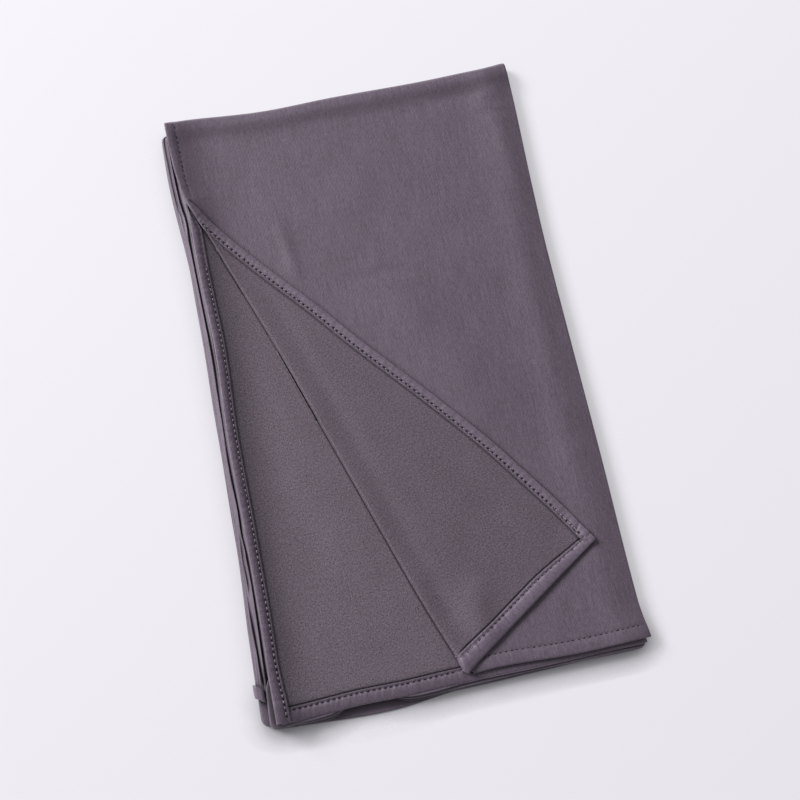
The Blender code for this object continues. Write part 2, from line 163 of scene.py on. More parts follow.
SHARED_CREASES = rows_of(Crease, (130, 300, 215, 165, 0.0, 16.0, 2.4),
    (185, 260, 180, 120, 4.0, 9.0, 0.4), (98, 303, 165, 300, -2.0, 7.0, -0.3),
    (150, 400, 110, 330, 3.0, 12.0, 0.4), (252, 424, 256, 345, 1.0, 4.5, 1.1),
    (258, 330, 256, 190, 2.0, 5.0, -0.5), (60, 425, 40, 340, 4.0, 14.0, -0.3),
    (120, 428, 215, 434, 2.0, 4.0, -0.4))
TOP_CREASES = rows_of(Crease, (165, 441, 250, 439, -1.0, 5.0, -0.6),
    (105, 428, 190, 430, 1.0, 3.0, 0.35), (232, 426, 262, 438, 0.0, 5.0, 0.7),
    (69, 358, 75, 308, 0.0, 3.6, 0.9), (58, 372, 66, 340, 0.0, 5.0, 0.3),
    (236, 424, 262, 420, 0.0, 2.4, 0.35), (240, 414, 264, 409, 0.0, 2.6, 0.4),
    (206, 436, 248, 431, -1.0, 3.5, -0.5), (160, 262, 200, 250, 2.0, 12.0, -0.7),
    (190, 220, 205, 120, 3.0, 10.0, -0.4), (234, 200, 242, 110, -2.0, 6.0, 0.45),
    (150, 330, 230, 290, 3.0, 16.0, 0.7), (240, 60, 262, 20, 2.0, 8.0, -0.5),
    (100, 309, 152, 314, 1.5, 3.0, 0.3), (112, 297, 165, 291, -1.5, 3.0, 0.25),
    (225, 140, 262, 150, 3.0, 5.0, 0.3), (190, 395, 235, 372, -3.0, 6.0, 0.3))
FLAP_CREASES = rows_of(Crease, (149, 22, 153, 66, 0.0, 8.0, 2.1),
    (160, 24, 184, 50, 2.0, 6.0, -0.4), (133, 40, 121, 75, 0.0, 5.0, -0.8),
    (118, 84, 100, 140, 0.0, 6.0, -0.5), (98, 150, 76, 230, 1.0, 7.0, -0.4),
    (186, 108, 160, 122, 0.0, 8.0, -0.4), (200, 110, 150, 180, 3.0, 12.0, -0.4),
    (120, 120, 150, 90, 0.0, 14.0, 0.3), (214, 84, 232, 104, 2.0, 6.0, -0.6))
UNDER_CREASES = rows_of(Crease, (40, 170, 58, 140, 0.0, 8.0, 0.35),
    (60, 120, 88, 80, 3.0, 9.0, 0.35), (25, 330, 128, 20, 0.0, 9.0, -0.7),
    (30, 60, 90, 40, 3.0, 12.0, 0.4), (20, 200, 50, 90, -3.0, 11.0, -0.4),
    (40, 250, 60, 190, 2.0, 8.0, 0.25))


# ---- curves
def curve(rows):
    """A smooth curve through a table's rows, level past its two ends."""
    at, edge = np.array(rows, float).T
    number = np.arange(len(at))
    before = np.maximum(number - 1, 0)
    after = np.minimum(number + 1, len(at) - 1)
    slope = (edge[after] - edge[before]) / (at[after] - at[before])

    def read(x):
        x = np.clip(x, at[0], at[-1])
        k = np.clip(np.searchsorted(at, x, side="right") - 1, 0, len(at) - 2)
        span = at[k + 1] - at[k]
        s = (x - at[k]) / span
        level = (1 + 2 * s) * (1 - s) ** 2 * edge[k] + s * s * (3 - 2 * s) * edge[k + 1]
        return level + span * (s * (1 - s) ** 2 * slope[k] + s * s * (s - 1) * slope[k + 1])

    return read


end_fold = curve(END_FOLD)
side_fold = curve(SIDE_FOLD)
panel_side = curve(PANEL_SIDE)
panel_end = curve(PANEL_END)
crease_at = curve(CREASE)
under_side = curve(UNDER_SIDE)
under_end = curve(UNDER_END)
bundle_side = curve(BUNDLE_SIDE)


def walker(points):
    """Reads a smooth line through points by the share of its length."""
    line = np.array(points, float)
    steps = np.concatenate([[0.0], np.cumsum(np.hypot(*np.diff(line, axis=0).T))])
    across = curve(list(zip(steps, line[:, 0])))
    along = curve(list(zip(steps, line[:, 1])))

    def read(share):
        return across(share * steps[-1]), along(share * steps[-1])

    return read, steps[-1]


turned_edge, TURNED_LENGTH = walker(TURNED_EDGE)


def normals_of(read, share):
    """Unit vectors to the left of a line's direction."""
    u0, v0 = read(np.clip(share - 0.004, 0, 1))
    u1, v1 = read(np.clip(share + 0.004, 0, 1))
    length = np.hypot(u1 - u0, v1 - v0)
    return -(v1 - v0) / length, (u1 - u0) / length


def smoothstep(low, high, x):
    s = np.clip((x - low) / (high - low), 0.0, 1.0)
    return s * s * (3 - 2 * s)


def bell(distance, width):
    return np.exp(-0.5 * (distance / width) ** 2)


def swollen(swell, distance):
    """Height of a ridge, or depth of a trough, at a distance from a line."""
    return swell.height * bell(distance - swell.at, swell.width)


def sunk(drop, inset):
    """Depth below an edge's height, rounding off to nought within a width."""
    return drop.height * np.clip(1 - inset / drop.width, 0, 1) ** 2


# ---- heights
def lie(u, v):
    """How far the layers swell above their pressed height, as in the solids."""
    across = np.sin(math.pi * np.clip(u / PACK_WIDTH, 0.0, 1.0))
    along = np.sin(math.pi * np.clip(v / PACK_LENGTH, 0.0, 1.0))
    return 0.7 * across * along + 0.25 * np.sin(u / 62.0) * np.sin(v / 71.0)


def creased(table, u, v):
    """Height of a table of soft ridges and troughs, each fading out at its ends."""
    total = np.zeros(np.broadcast(u, v).shape)
    for c in table:
        length = math.hypot(c.u1 - c.u0, c.v1 - c.v0)
        du, dv = (c.u1 - c.u0) / length, (c.v1 - c.v0) / length
        share = ((u - c.u0) * du + (v - c.v0) * dv) / length
        away = (u - c.u0) * dv - (v - c.v0) * du - 4 * c.bend * share * (1 - share)
        fade = np.exp(-(1.1 * (2 * share - 1)) ** 4)
        total = total + c.height * bell(away, c.width) * fade
    return total


def shared(u, v):
    """What every upper layer follows above its pressed height."""
    from_left = u - np.minimum(under_side(v), panel_side(v))
    from_right = side_fold(v) - u
    from_top = end_fold(u) - v
    rounded = 0.5 * (from_left + np.sqrt(from_left ** 2 + HEM_RIDGE.at ** 2))
    ridge = HEM_RIDGE.height * np.exp(-(rounded / HEM_RIDGE.width) ** 1.5)
    fold = swollen(FOLD_RIDGE, from_top) * (1 - 0.8 * ridge / HEM_RIDGE.height)
    level = lie(u, v) + ridge + swollen(SIDE_RIDGE, from_right) - sunk(SIDE_DROP, from_right)
    return level + fold + creased(SHARED_CREASES, u, v)


def set_back(points, swell):
    """Outlines were read as if pressed flat, so cloth that swells up stands nearer the eye."""
    share = np.maximum(swell, 0.0) / EYE_HEIGHT
    points[..., 0] -= (points[..., 0] - EYE_FOOT.u) * share
    points[..., 1] -= (points[..., 1] - EYE_FOOT.v) * share
    return points


def lifted(u, v, z):
    """How far a hidden layer follows the upper ones, more the higher it lies."""
    return np.maximum(shared(u, v), -0.5) * z / UNDER_TOP


def under_height(u, v):
    drop = sunk(END_DROP, v - under_end(u))
    return UNDER_TOP + shared(u, v) - drop + creased(UNDER_CREASES, u, v)


def panel_height(u, v):
    lift = swollen(END_LIFT, v - panel_end(u))
    return PANEL_TOP + shared(u, v) + lift + creased(TOP_CREASES, u, v)


def from_crease(u, v):
    """Distance right of the crease line."""
    return (u - crease_at(v)) / CREASE_LEAN


def turned_height(u, v):
    away = from_crease(u, v)
    loft = (CREASE_LOFT + swollen(TIP_LOFT, v)) * bell(away, CREASE_LOFT_WIDTH)
    dip = swollen(CREASE_DIP, away) * smoothstep(20.0, 70.0, v) * smoothstep(330.0, 270.0, v)
    from_end = (v - END_LINE.v) * END_LINE_TURN.u - (u - END_LINE.u) * END_LINE_TURN.v
    loft = loft + swollen(END_LOFT, from_end) * smoothstep(228.0, 190.0, u)
    return TURNED_TOP + shared(u, v) + loft - dip + creased(FLAP_CREASES, u, v)


def puckers(steps, phase):
    """Small uneven waves along a seam."""
    return (0.5 * np.sin(steps / 1.1 + phase) + 0.35 * np.sin(steps / 0.63 + 2.3 * phase)
            + 0.5 * np.sin(steps / 1.9 + 0.7 * phase))


def needle_holes(steps):
    """One at the middle of each stitch, nought between two."""
    return bell(steps % STITCH_PITCH - 0.5 * STITCH_PITCH, 0.55)


def corner_overlap(from_corner):
    """The turned corner's side hem rises over its end hem."""
    return OVERLAP_RISE * smoothstep(13.0, 8.0, from_corner)


def second_overlap(v):
    return OVERLAP_RISE * smoothstep(14.0, 10.0, v)


def on_cloth(height, u, v, *rises):
    """Points on a layer's face, each raised."""
    z = height(u, v)
    for rise in rises:
        z = z + rise
    return np.column_stack([u, v, z])


def hem_relief(inset, width, steps, ribs, phase):
    """Height of a sewn hem's face above its pressed one, across its width and along it."""
    seam_at = width - STITCH_INSET
    puff = HEM_PUFF * np.sin(math.pi * np.clip(inset / seam_at, 0.0, 1.0))
    pull = bell(inset - seam_at, 0.75) * (SEAM_PULL + HOLE_DEPTH * needle_holes(steps))
    wave = ribs * puckers(steps, phase) * bell(inset - seam_at + 1.5, 0.4 * width)
    return puff - pull + wave


# ---- materials
def add(tree, kind, inputs=None, **settings):
    """A shader node; its inputs are values or other nodes' outputs."""
    made = tree.nodes.new(kind)
    for key, value in settings.items():
        setattr(made, key, value)
    for key, value in (inputs or {}).items():
        if isinstance(value, bpy.types.NodeSocket):
            tree.links.new(value, made.inputs[key])
        else:
            made.inputs[key].default_value = value
    return made


def maths(tree, operation, first, second):
    return add(tree, "ShaderNodeMath", {0: first, 1: second}, operation=operation).outputs[0]


def times(tree, first, second):
    return maths(tree, "MULTIPLY", first, second)


def stretched(tree, place, factors):
    return add(tree, "ShaderNodeVectorMath", {0: place, 1: factors},
               operation="MULTIPLY").outputs[0]


def grain(tree, place, across, along, detail=2.0, rough=0.6):
    """Noise whose grain has a size in mm across and along the knit."""
    vector = stretched(tree, place, (1 / across, 1 / along, 1 / across))
    return add(tree, "ShaderNodeTexNoise",
               {"Vector": vector, "Scale": 1.0, "Detail": detail, "Roughness": rough},
               noise_dimensions="3D").outputs["Fac"]


def varied(tree, parts):
    """One plus a weighted sum of noises about their middle."""
    total = 1.0
    for noise, weight in parts:
        centred = maths(tree, "SUBTRACT", noise, 0.5)
        total = maths(tree, "ADD", times(tree, centred, weight), total)
    return total


def scaled(tree, vector, factor):
    return add(tree, "ShaderNodeVectorMath", {0: vector, "Scale": factor},
               operation="SCALE").outputs[0]


def in_millimetres(tree, source):
    return stretched(tree, source, (1 / MM,) * 3)


def object_place(tree):
    return add(tree, "ShaderNodeTexCoord").outputs["Object"]


def new_material(name, roughness, gloss):
    """A material, its node tree and its shader."""
    material = bpy.data.materials.new(name)
    material.use_nodes = True
    tree = material.node_tree
    shader = tree.nodes["Principled BSDF"]
    shader.inputs["Roughness"].default_value = roughness
    shader.inputs["Specular IOR Level"].default_value = gloss
    return material, tree, shader


def bumped(tree, shader, height, strength, distance):
    bump = add(tree, "ShaderNodeBump",
               {"Height": height, "Strength": strength, "Distance": distance * MM})
    tree.links.new(bump.outputs["Normal"], shader.inputs["Normal"])


def jersey(name, colour, look, by_object=False):
    """Knitted jersey: streaks along its wales, speckle, a bumped knit, and painted shade in its
    clefts.
    """
    material, tree, shader = new_material(name, 0.55, 0.5)
    if by_object:
        source = object_place(tree)
    else:
        source = add(tree, "ShaderNodeUVMap", uv_map="knit").outputs["UV"]
    place = in_millimetres(tree, source)
    lines = grain(tree, place, 0.9, 22.0)
    short = grain(tree, place, 0.8, 4.0)
    dots = grain(tree, place, 1.0, 1.2, rough=0.7)
    patches = grain(tree, place, 3.0, 3.6, 1.0, 0.5)
    broad = grain(tree, place, 16.0, 30.0, 1.0, 0.5)
    shade = varied(tree, [(lines, look.streak), (short, look.short), (dots, look.speckle),
                          (patches, 0.3), (broad, 0.2)])
    tint = add(tree, "ShaderNodeMix", {0: patches, 6: (*colour, 1.0),
                                       7: (*(c * t for c, t in zip(colour, HUE_DRIFT)), 1.0)},
               data_type="RGBA").outputs[2]
    # Painted shade: the colour darkens where ambient occlusion finds cloth near, in clefts, grooves
    # and under edges.
    ao_for_painted_shade = add(tree, "ShaderNodeAmbientOcclusion", {"Distance": look.reach * MM},
                   samples=6).outputs["AO"]
    shade = times(tree, shade, maths(tree, "POWER", ao_for_painted_shade, look.gloom))
    tree.links.new(scaled(tree, tint, shade), shader.inputs["Base Color"])
    shader.inputs["Sheen Weight"].default_value = look.sheen
    shader.inputs["Sheen Roughness"].default_value = 0.45
    shader.inputs["Sheen Tint"].default_value = (0.86, 0.80, 0.90, 1.0)
    waves = add(tree, "ShaderNodeTexWave",
                {"Vector": place, "Scale": 2 * math.pi / 20 / look.rib, "Distortion": 1.2,
                 "Detail": 1.0, "Detail Scale": 0.6},
                wave_type="BANDS", bands_direction="X").outputs["Fac"]
    knit = maths(tree, "ADD", times(tree, waves, look.wale), times(tree, dots, 1.0 - look.wale))
    knit = maths(tree, "ADD", knit, times(tree, short, 0.5))
    bumped(tree, shader, knit, 0.6, 0.25)
    return material


def thread(name, colour, gloss):
    """Twisted sewing thread."""
    material, tree, shader = new_material(name, 0.7, gloss)
    fibre = grain(tree, in_millimetres(tree, object_place(tree)), 0.4, 0.4)
    shade = varied(tree, [(fibre, 0.5)])
    tree.links.new(scaled(tree, colour, shade), shader.inputs["Base Color"])
    bumped(tree, shader, fibre, 0.5, 0.1)
    return material


FLOOR_GLOW = 0.582
FLOOR_FADING = (0.027, -0.123, 0.0)    # share of the glow lost per metre, a painted falloff away from the window
SHADOW_REACH = 0.018
SHADOW_IN_FRONT = 2.2                  # depth of the painted contact shadow in the glow before the pack
SHADOW_BESIDE = 0.6                    # and beside it


def floor_finish():
    """A pale matt table, hardly uneven, lit a little from within so that shadows stay light; the
    glow is painted light, with a painted contact shadow about the pack and a painted falloff away
    from the window.
    """
    material, tree, shader = new_material("pale_table", 0.75, 0.2)
    source = object_place(tree)
    noise = add(tree, "ShaderNodeTexNoise", {"Vector": source, "Scale": 3.0}).outputs["Fac"]
    shade = varied(tree, [(noise, 0.02)])
    tree.links.new(scaled(tree, (0.30, 0.295, 0.315), shade), shader.inputs["Base Color"])
    away = add(tree, "ShaderNodeVectorMath", {0: source, 1: FLOOR_FADING},
               operation="DOT_PRODUCT").outputs["Value"]
    shader.inputs["Emission Color"].default_value = (0.97, 0.955, 1.0, 1.0)
    # Painted contact shadow: ambient occlusion towards the window darkens the glow beside the pack,
    # most in front of it.
    north = add(tree, "ShaderNodeCombineXYZ", {0: -0.15, 1: 0.85, 2: 0.5}).outputs[0]
    ao_for_painted_shade = add(tree, "ShaderNodeAmbientOcclusion", {"Distance": SHADOW_REACH, "Normal": north},
                   samples=8).outputs["AO"]
    beside = add(tree, "ShaderNodeSeparateXYZ", {0: source}).outputs["Y"]
    depth = add(tree, "ShaderNodeMapRange", {0: beside, 1: -0.226, 2: -0.195,
                                             3: SHADOW_IN_FRONT, 4: SHADOW_BESIDE}).outputs[0]
    glow = times(tree, maths(tree, "POWER", ao_for_painted_shade, depth), FLOOR_GLOW)
    fading = add(tree, "ShaderNodeClamp", {0: maths(tree, "SUBTRACT", 1.0, away), 1: 0.94,
                                           2: 1.06}).outputs[0]
    glow = times(tree, glow, fading)
    tree.links.new(glow, shader.inputs["Emission Strength"])
    return material


def make_mesh(name, points, faces):
    """A mesh from points in millimetres from the pack's corner."""
    mesh = bpy.data.meshes.new(name)
    mesh.from_pydata(((np.asarray(points) - CENTRE) * MM).tolist(), [], faces)
    return mesh


def place_piece(name, mesh, material, nodes):
    """Links a finished mesh, rides it on the pack and hides the solids it stands for."""
    mesh.materials.append(material)
    mesh.shade_smooth()
    piece = bpy.data.objects.new(name, mesh)
    bpy.context.scene.collection.objects.link(piece)
    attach(piece, "root")
    if nodes:
        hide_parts(*nodes)
    return piece


def quads_of(rows, columns, closed=False):
    """Corners of a grid's quads, the last column joined to the first if closed."""
    corner = np.arange(rows * columns).reshape(rows, columns)
    if closed:
        corner = np.concatenate([corner, corner[:, :1]], axis=1)
    sides = [corner[:-1, :-1], corner[:-1, 1:], corner[1:, 1:], corner[1:, :-1]]
    return np.stack(sides, axis=-1).reshape(-1, 4)


def sheet_piece(name, points, cloth, material, nodes=(), wall=PLY, turned=False):
    """A sheet of cloth from a grid of its outer face's points, with the knit's coordinates."""
    points = set_back(points.copy(), shared(points[..., 0], points[..., 1]))
    rows, columns = points.shape[:2]
    quads = quads_of(rows, columns)
    if turned:
        quads = quads[:, ::-1]
    mesh = make_mesh(name, points.reshape(-1, 3), quads.tolist())
    knit = mesh.uv_layers.new(name="knit")
    places = cloth.reshape(-1, 2)[quads.reshape(-1)] * MM
    knit.data.foreach_set("uv", places.astype(np.float32).ravel())
    piece = place_piece(name, mesh, material, nodes)
    solid = piece.modifiers.new("wall", "SOLIDIFY")
    solid.thickness = wall * MM
    solid.offset = -1.0
    solid.use_even_offset = False
    return piece


def spaced(*stops):
    """Numbers from stop to stop, with a count of steps for each stretch."""
    values = [stops[0]]
    for steps, stop in zip(stops[1::2], stops[2::2]):
        start = values[-1]
        values += [start + (stop - start) * (k + 1) / steps for k in range(steps)]
    return np.array(values)


def hem_round(under, steps=6):
    """The section of a hem's folded edge: (inset from the edge, depth), from below to above."""
    section = [(under, 2 * HEM_ROUND), (0.5 * (under + HEM_ROUND), 2 * HEM_ROUND)]
    for k in range(steps + 1):
        angle = math.radians(90 - 180 * k / steps)
        section.append((HEM_ROUND * (1 - math.cos(angle)), HEM_ROUND * (1 + math.sin(angle))))
    return section


# ---- topmost layer
def panel_left(v):
    """The topmost layer's left side: its hem, and below that the crease it hides behind."""
    hidden = 3.0 * smoothstep(388.0, 372.0, v)
    return np.where(v > CREASE[-1].at, panel_side(v), crease_at(v) + hidden)


TOP_SIDE_LINES = (2.0, 3.5, 4.6, 5.3, 5.8, 6.2, 6.6, 7.0, 7.4, 7.9, 8.6, 10.0)
TOP_END_LINES = (2.0, 4.0, 6.0, 7.4, 8.2, 8.7, 9.1, 9.4, 9.7, 10.1, 10.7, 11.6, 13.0, 15.0)
TOP_END_SEAM = 9.4
PUCKER = 0.10
SEAM_WIDTH = 0.9
SIDE_TURN_STEPS = 11
END_TURN_STEPS = 19


def top_side_seam(v):
    """Inset of the side's stitches; they near the edge where the corner turns back."""
    return 7.2 - 1.8 * smoothstep(430.0, 392.0, v)


def top_relief(u, v):
    """What the seams pull down, and the ridge of the hem between them and the edge."""
    side = u - panel_side(v) - top_side_seam(v)
    end = v - panel_end(u) - TOP_END_SEAM
    sewn = smoothstep(384.0, 392.0, v)
    side_wave = (PUCKER * puckers(v, 0.4) - SEAM_PULL) * bell(side, SEAM_WIDTH) * sewn
    end_wave = (PUCKER * puckers(u, 1.7) - SEAM_PULL) * bell(end, SEAM_WIDTH)
    ridge = 0.35 * (bell(side + 3.5, 2.2) * sewn + bell(end + 5.0, 2.6))
    return side_wave + end_wave + ridge


def top_lines(width, insets, shares):
    """Lines over the layer: inset, depth and share; round its hem's edge, then across it."""
    rows = [(inset, depth, 0.0) for inset, depth in hem_round(width)]
    rows += [(inset, 0.0, 0.0) for inset in insets]
    return rows + [(insets[-1], 0.0, share) for share in shares[1:]]


def make_top_layer(face):
    side_lines = top_lines(SIDE_HEM, TOP_SIDE_LINES, spaced(0.0, 116, 0.95, 10, 1.0))
    end_lines = top_lines(END_HEM, TOP_END_LINES, spaced(0.0, 175, 0.92, 40, 1.0))
    side_inset, side_depth, side_share = np.array(side_lines).T
    turns = np.radians(np.linspace(90, math.degrees(WRAP_END), SIDE_TURN_STEPS))[1:]
    lines, knit = [], []
    for inset, depth, share in end_lines:
        v = np.full(len(side_lines), inset + share * PACK_LENGTH)
        for _ in range(5):
            left, right = panel_left(v) + side_inset, side_fold(v) - SIDE_RADIUS
            u = left + side_share * (right - left)
            low = panel_end(u) + inset
            v = low + share * (end_fold(u) - FOLD_RADIUS - low)
        z = panel_height(u, v) + top_relief(u, v) - np.maximum(side_depth, depth)
        axis, along = u[-1], v[-1]
        top = panel_height(axis, along)
        radius = SIDE_RADIUS - depth
        line = np.column_stack([np.concatenate([u, axis + radius * np.cos(turns)]),
                                np.concatenate([v, np.full(len(turns), along)]),
                                np.concatenate([z, top - SIDE_RADIUS + radius * np.sin(turns)])])
        lines.append(line)
        arc = np.concatenate([u, axis + SIDE_RADIUS * (math.pi / 2 - turns)])
        knit.append(np.column_stack([arc, line[:, 1]]))
    edge, edge_knit = lines[-1], knit[-1]
    for angle in np.radians(np.linspace(90, math.degrees(WRAP_END), END_TURN_STEPS))[1:]:
        reach = FOLD_RADIUS + np.minimum(edge[:, 2] - PANEL_TOP, 0.0)
        rise = np.where(angle > 0, edge[:, 2] - FOLD_AXIS_Z, reach)
        lines.append(np.column_stack([edge[:, 0], edge[:, 1] + reach * math.cos(angle),
                                      FOLD_AXIS_Z + rise * math.sin(angle)]))
        knit.append(edge_knit + np.array([0.0, FOLD_RADIUS * (math.pi / 2 - angle)]))
    return sheet_piece("top_layer", np.array(lines), np.array(knit), face,
                       ["top_panel"])


# ---- turned corner
def crease_frame(along):
    """Point, outward unit vector and hemmed side's point for shares down the crease."""
    v = CREASE[-1].at + along * (CREASE[0].at - CREASE[-1].at)
    u = crease_at(v)
    du = crease_at(v - 1.0) - crease_at(v + 1.0)
    length = np.hypot(du, 2.0)
    return u, v, -2.0 / length, -du / length


def mirrored(u, v):
    """The cloth's own place of a point on the turned corner: its image over the crease."""
    start = np.array([CREASE[0].edge, CREASE[0].at])
    finish = np.array([CREASE[-1].edge, CREASE[-1].at])
    along = (finish - start) / np.linalg.norm(finish - start)
    du, dv = u - start[0], v - start[1]
    reach = 2 * (du * along[0] + dv * along[1])
    return start[0] + reach * along[0] - du, start[1] + reach * along[1] - dv


ROLL_LINES = 13
FLAP_SIDE_LINES = (12.0, 10.5, 9.7, 9.2, 8.9, 8.65, 8.4, 8.2, 7.9, 6.8)


def band_share(share):
    """Width of the turned end hem for shares from the crease to the side, as a factor."""
    wider = 1.0 + CORNER_WIDENS - CORNER_WIDENS * smoothstep(0.0, 0.3, share)
    return wider - (1 - CORNER_NARROWS) * smoothstep(0.55, 1.0, share)


def flap_grid(along, across, lift, sink=0.0, insets=(0.0,)):
    """Points of the turned corner, from inside its roll over the crease to its hemmed side."""
    u, v, out_u, out_v = crease_frame(along)
    edge_u, edge_v = turned_edge(along)
    side_u, side_v = normals_of(turned_edge, along)
    top = turned_height(u, v) + lift - sink
    bottom = under_height(u, v) + SEAM - 0.5 * lift + sink
    radius, middle = 0.5 * (top - bottom), 0.5 * (top + bottom)
    centre_u, centre_v = u - out_u * radius, v - out_v * radius
    turn = np.radians(np.arange(-90, 90, 15))[:, None]
    reach = np.vstack([-1.5 + 0.0 * radius, radius * np.cos(turn)])
    roll = [centre_u + reach * out_u, centre_v + reach * out_v,
            np.vstack([bottom, middle + radius * np.sin(turn)])]
    gap = np.hypot(edge_u - centre_u, edge_v - centre_v)
    room = np.minimum(1.0, 0.8 * gap / max(insets[0], 1.0))
    inset = np.array(insets)[:, None]
    side = np.stack([edge_u - side_u * inset * room, edge_v - side_v * inset * room])
    centre = np.stack([centre_u, centre_v])
    share = across[:, None]
    flat = centre[:, None] + share * (side[:, :1] - centre[:, None])
    place = np.concatenate([flat, side[:, 1:]], axis=1)
    gape = swollen(LIP_GAP, inset[1:] * room - SIDE_HEM - 0.55)
    gape = gape * smoothstep(9.0, 13.0, gap)
    dip = np.vstack([np.zeros((len(across), len(along))), gape])
    height = turned_height(*place) + lift - sink - dip
    lines = [np.vstack([roll[0], place[0]]), np.vstack([roll[1], place[1]]),
             np.vstack([roll[2], height])]
    return np.array(lines).transpose(2, 1, 0)


def knit_of_flap(grid):
    u, v = mirrored(grid[..., 0], grid[..., 1])
    return np.stack([u, v], axis=-1)


def make_corner_flap(back):
    along = spaced(0.0, 12, 0.03, 165, 0.94, 55, 0.985)
    grid = flap_grid(along, spaced(0.0, 8, 0.08, 84, 1.0), 0.0, insets=FLAP_SIDE_LINES)
    columns = grid.shape[1]
    share = np.clip((np.arange(columns) - ROLL_LINES) / (columns - ROLL_LINES), 0.0, 1.0)
    inset = (1.0 - along[:, None]) * TURNED_LENGTH - END_HEM * band_share(share)
    grid[..., 2] -= swollen(LIP_GAP, inset - 0.4) * smoothstep(0.0, 0.04, share)
    return sheet_piece("corner_flap", grid, knit_of_flap(grid), back,
                       ["turned_corner"], turned=True)


def hem_section(width, steps):
    """A sewn hem seen from the wrong side: (inset, depth) from under its fold to its lip."""
    section = hem_round(3.0)
    lip = 0.45
    section += [(HEM_ROUND + (width - lip - HEM_ROUND) * (k + 1) / steps, 0.0)
                for k in range(steps)]
    section += [(width - 0.15, 0.12), (width, 0.4), (width, 1.0), (width - 0.3, 1.6)]
    return section


def make_corner_side_hem(hem):
    """The side hem on the turned corner; what passes the crease goes round its roll."""
    share = spaced(0.0, 960, 1.0)
    steps = share * TURNED_LENGTH
    from_corner = TURNED_LENGTH - steps
    edge_u, edge_v = turned_edge(share)
    side_u, side_v = normals_of(turned_edge, share)
    over_end = corner_overlap(from_corner)
    lines = []
    for inset, depth in hem_section(SIDE_HEM, 18):
        u, v = edge_u - inset * side_u, edge_v - inset * side_v
        past = np.maximum(-from_crease(u, v), 0.0)
        u = u + CREASE_LEAN * past - 0.8 * (1 - np.exp(-past))
        dent = 0.5 * bell(from_corner - 5.5, 0.7) * smoothstep(5.5, 3.0, inset)
        wrinkle = 0.4 * bell(from_corner - 17.0 + 0.5 * inset, 0.9)
        height = turned_height(u, v) + CLOTH + over_end - dent - wrinkle
        height = height + hem_relief(inset, SIDE_HEM, steps, 0.12, 0.9)
        lines.append((u, v, height - depth - np.minimum(past, 3.0)))
    grid = np.array(lines).transpose(2, 0, 1)
    grid[..., 2] -= 0.35 * np.maximum(1.6 - from_corner, 0.0)[:, None]
    return sheet_piece("corner_side_hem", grid, knit_of_flap(grid), hem,
                       ["turned_side_hem"])


def make_corner_end_hem(hem):
    """The end hem on the turned corner; it goes round the roll of the crease too."""
    across = spaced(0.0, 300, 0.965)
    shares = np.concatenate([np.zeros(ROLL_LINES), across])
    edge_u, edge_v = turned_edge(1.0)
    length = math.hypot(edge_u - CREASE[0].edge, edge_v - CREASE[0].at)
    steps = shares * length
    inset, depth = np.array(hem_section(END_HEM, 18)).T
    wide, even, narrow = [flap_grid(1.0 - inset * factor / TURNED_LENGTH, across, CLOTH, depth)
                          for factor in (1.0 + CORNER_WIDENS, 1.0, CORNER_NARROWS)]
    factor = band_share(shares)[:, None]
    grid = np.where(factor >= 1.0, even + (wide - even) * (factor - 1.0) / CORNER_WIDENS,
                    even + (narrow - even) * (1.0 - factor) / (1.0 - CORNER_NARROWS))
    ribs = 0.16 + 0.12 * bell(steps, 30.0)
    grid[..., 2] += hem_relief(inset[:, None], END_HEM, steps, ribs, 2.1)
    return sheet_piece("corner_end_hem", grid, knit_of_flap(grid), hem,
                       ["turned_end_hem"])


# ---- second layer
SECOND_SIDE_LINES = (0.8, 4.0, 6.6, 7.6, 8.0, 8.25, 8.5, 8.8, 9.3, 10.2, 12.0)
SECOND_END_LINES = (0.8, 4.0, 7.4, 9.2, 9.9, 10.3, 10.55, 10.8, 11.2, 12.0, 14.0)
CREASE_LINES = (-1.2, -0.7, -0.4, -0.2, 0.0, 0.25, 0.6, 1.2)
SECOND_END_HEM = 10.2
END_HEM_SLOPE = 0.7
HEM_FLARE = 0.24           # the second layer's side hem widens towards its end


def flare(v):
    return 1.0 + HEM_FLARE * smoothstep(45.0, 5.0, v)


def make_second_layer(back):
    side_lines = [(inset, 0.0, 0.0) for inset in SECOND_SIDE_LINES]
    side_lines += [(0.0, share, 0.0) for share in spaced(0.0, 44, 1.0)[1:-1]]
    side_lines += [(step, 1.0, 0.0) for step in CREASE_LINES]
    side_lines += [(0.0, 1.0, share) for share in spaced(0.0, 34, 1.0)[1:]]
    end_lines = [(inset, 0.0) for inset in SECOND_END_LINES]
    end_lines += [(SECOND_END_LINES[-1], share) for share in spaced(0.0, 190, 1.0)[1:]]
    step, near, far = np.array(side_lines).T
    inset = np.where(near == 0.0, step, SECOND_SIDE_LINES[-1])
    lines = []
    for end_inset, share in end_lines:
        v = np.full(len(side_lines), end_inset + share * PACK_LENGTH)
        for _ in range(4):
            left = under_side(v) + inset * np.where(near == 0.0, flare(v), 1.2)
            fold = np.maximum(crease_at(v), left + 3.0)
            right = side_fold(v) - SIDE_RADIUS - 2.0
            u = left + near * (fold - left) + np.where(near == 1.0, step, 0.0)
            u = u + far * (right - u)
            low = under_end(u) + end_inset
            v = low + share * (end_fold(u) - FOLD_RADIUS - low)
        gape = 0.6 * swollen(LIP_GAP, u - under_side(v) - SIDE_HEM * flare(v) - 0.4)
        gape = gape + swollen(LIP_GAP, v - under_end(u) - SECOND_END_HEM - 0.4)
        beside = swollen(CREASE_GAP, u - crease_at(v)) * smoothstep(12.0, 20.0, v)
        gape = gape + beside * smoothstep(14.0, 18.0, crease_at(v) - under_side(v))
        lines.append(np.column_stack([u, v, under_height(u, v) - gape]))
    grid = np.array(lines)
    return sheet_piece("second_layer", grid, grid[..., :2].copy(), back,
                       ["under_panel"])


